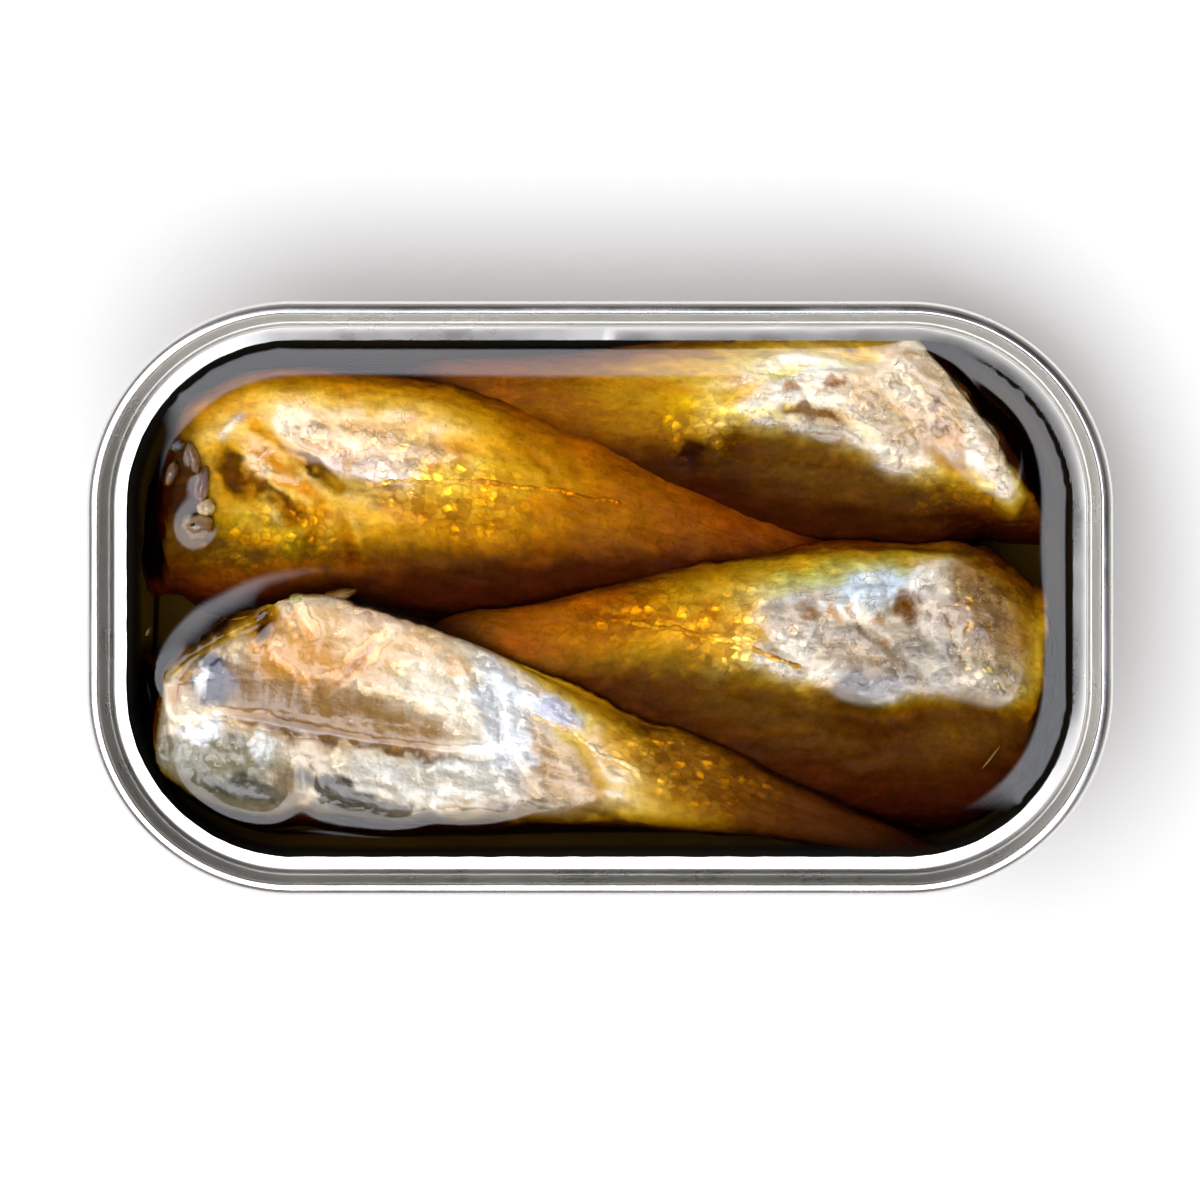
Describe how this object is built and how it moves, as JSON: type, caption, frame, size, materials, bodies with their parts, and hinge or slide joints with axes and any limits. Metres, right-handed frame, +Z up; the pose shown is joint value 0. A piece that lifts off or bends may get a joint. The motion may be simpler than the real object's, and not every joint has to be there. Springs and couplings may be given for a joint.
{
  "type": "opened tin of horse mackerel in oil",
  "caption": "Opened oblong fish tin with its lid pulled off: headed horse mackerel laid head to tail in golden oil inside a seamed metal rim.",
  "frame": {"origin": "centre of the base, on the floor", "axes": "+X along the tin, +Y across it, +Z up out of the opening"},
  "size_m": [0.104, 0.0602, 0.022],
  "materials": {
    "tin": "satin",
    "oil": "clear amber oil, dark in depth",
    "fish": "oily silver and gold skin"
  },
  "bodies": {
    "root": {"tin_body": "tin", "lid_ring": "tin", "oil": "oil", "fish_lower_left": "fish", "fish_lower_right": "fish", "fish_upper_left": "fish", "fish_upper_right": "fish"}
  },
  "joints": []
}
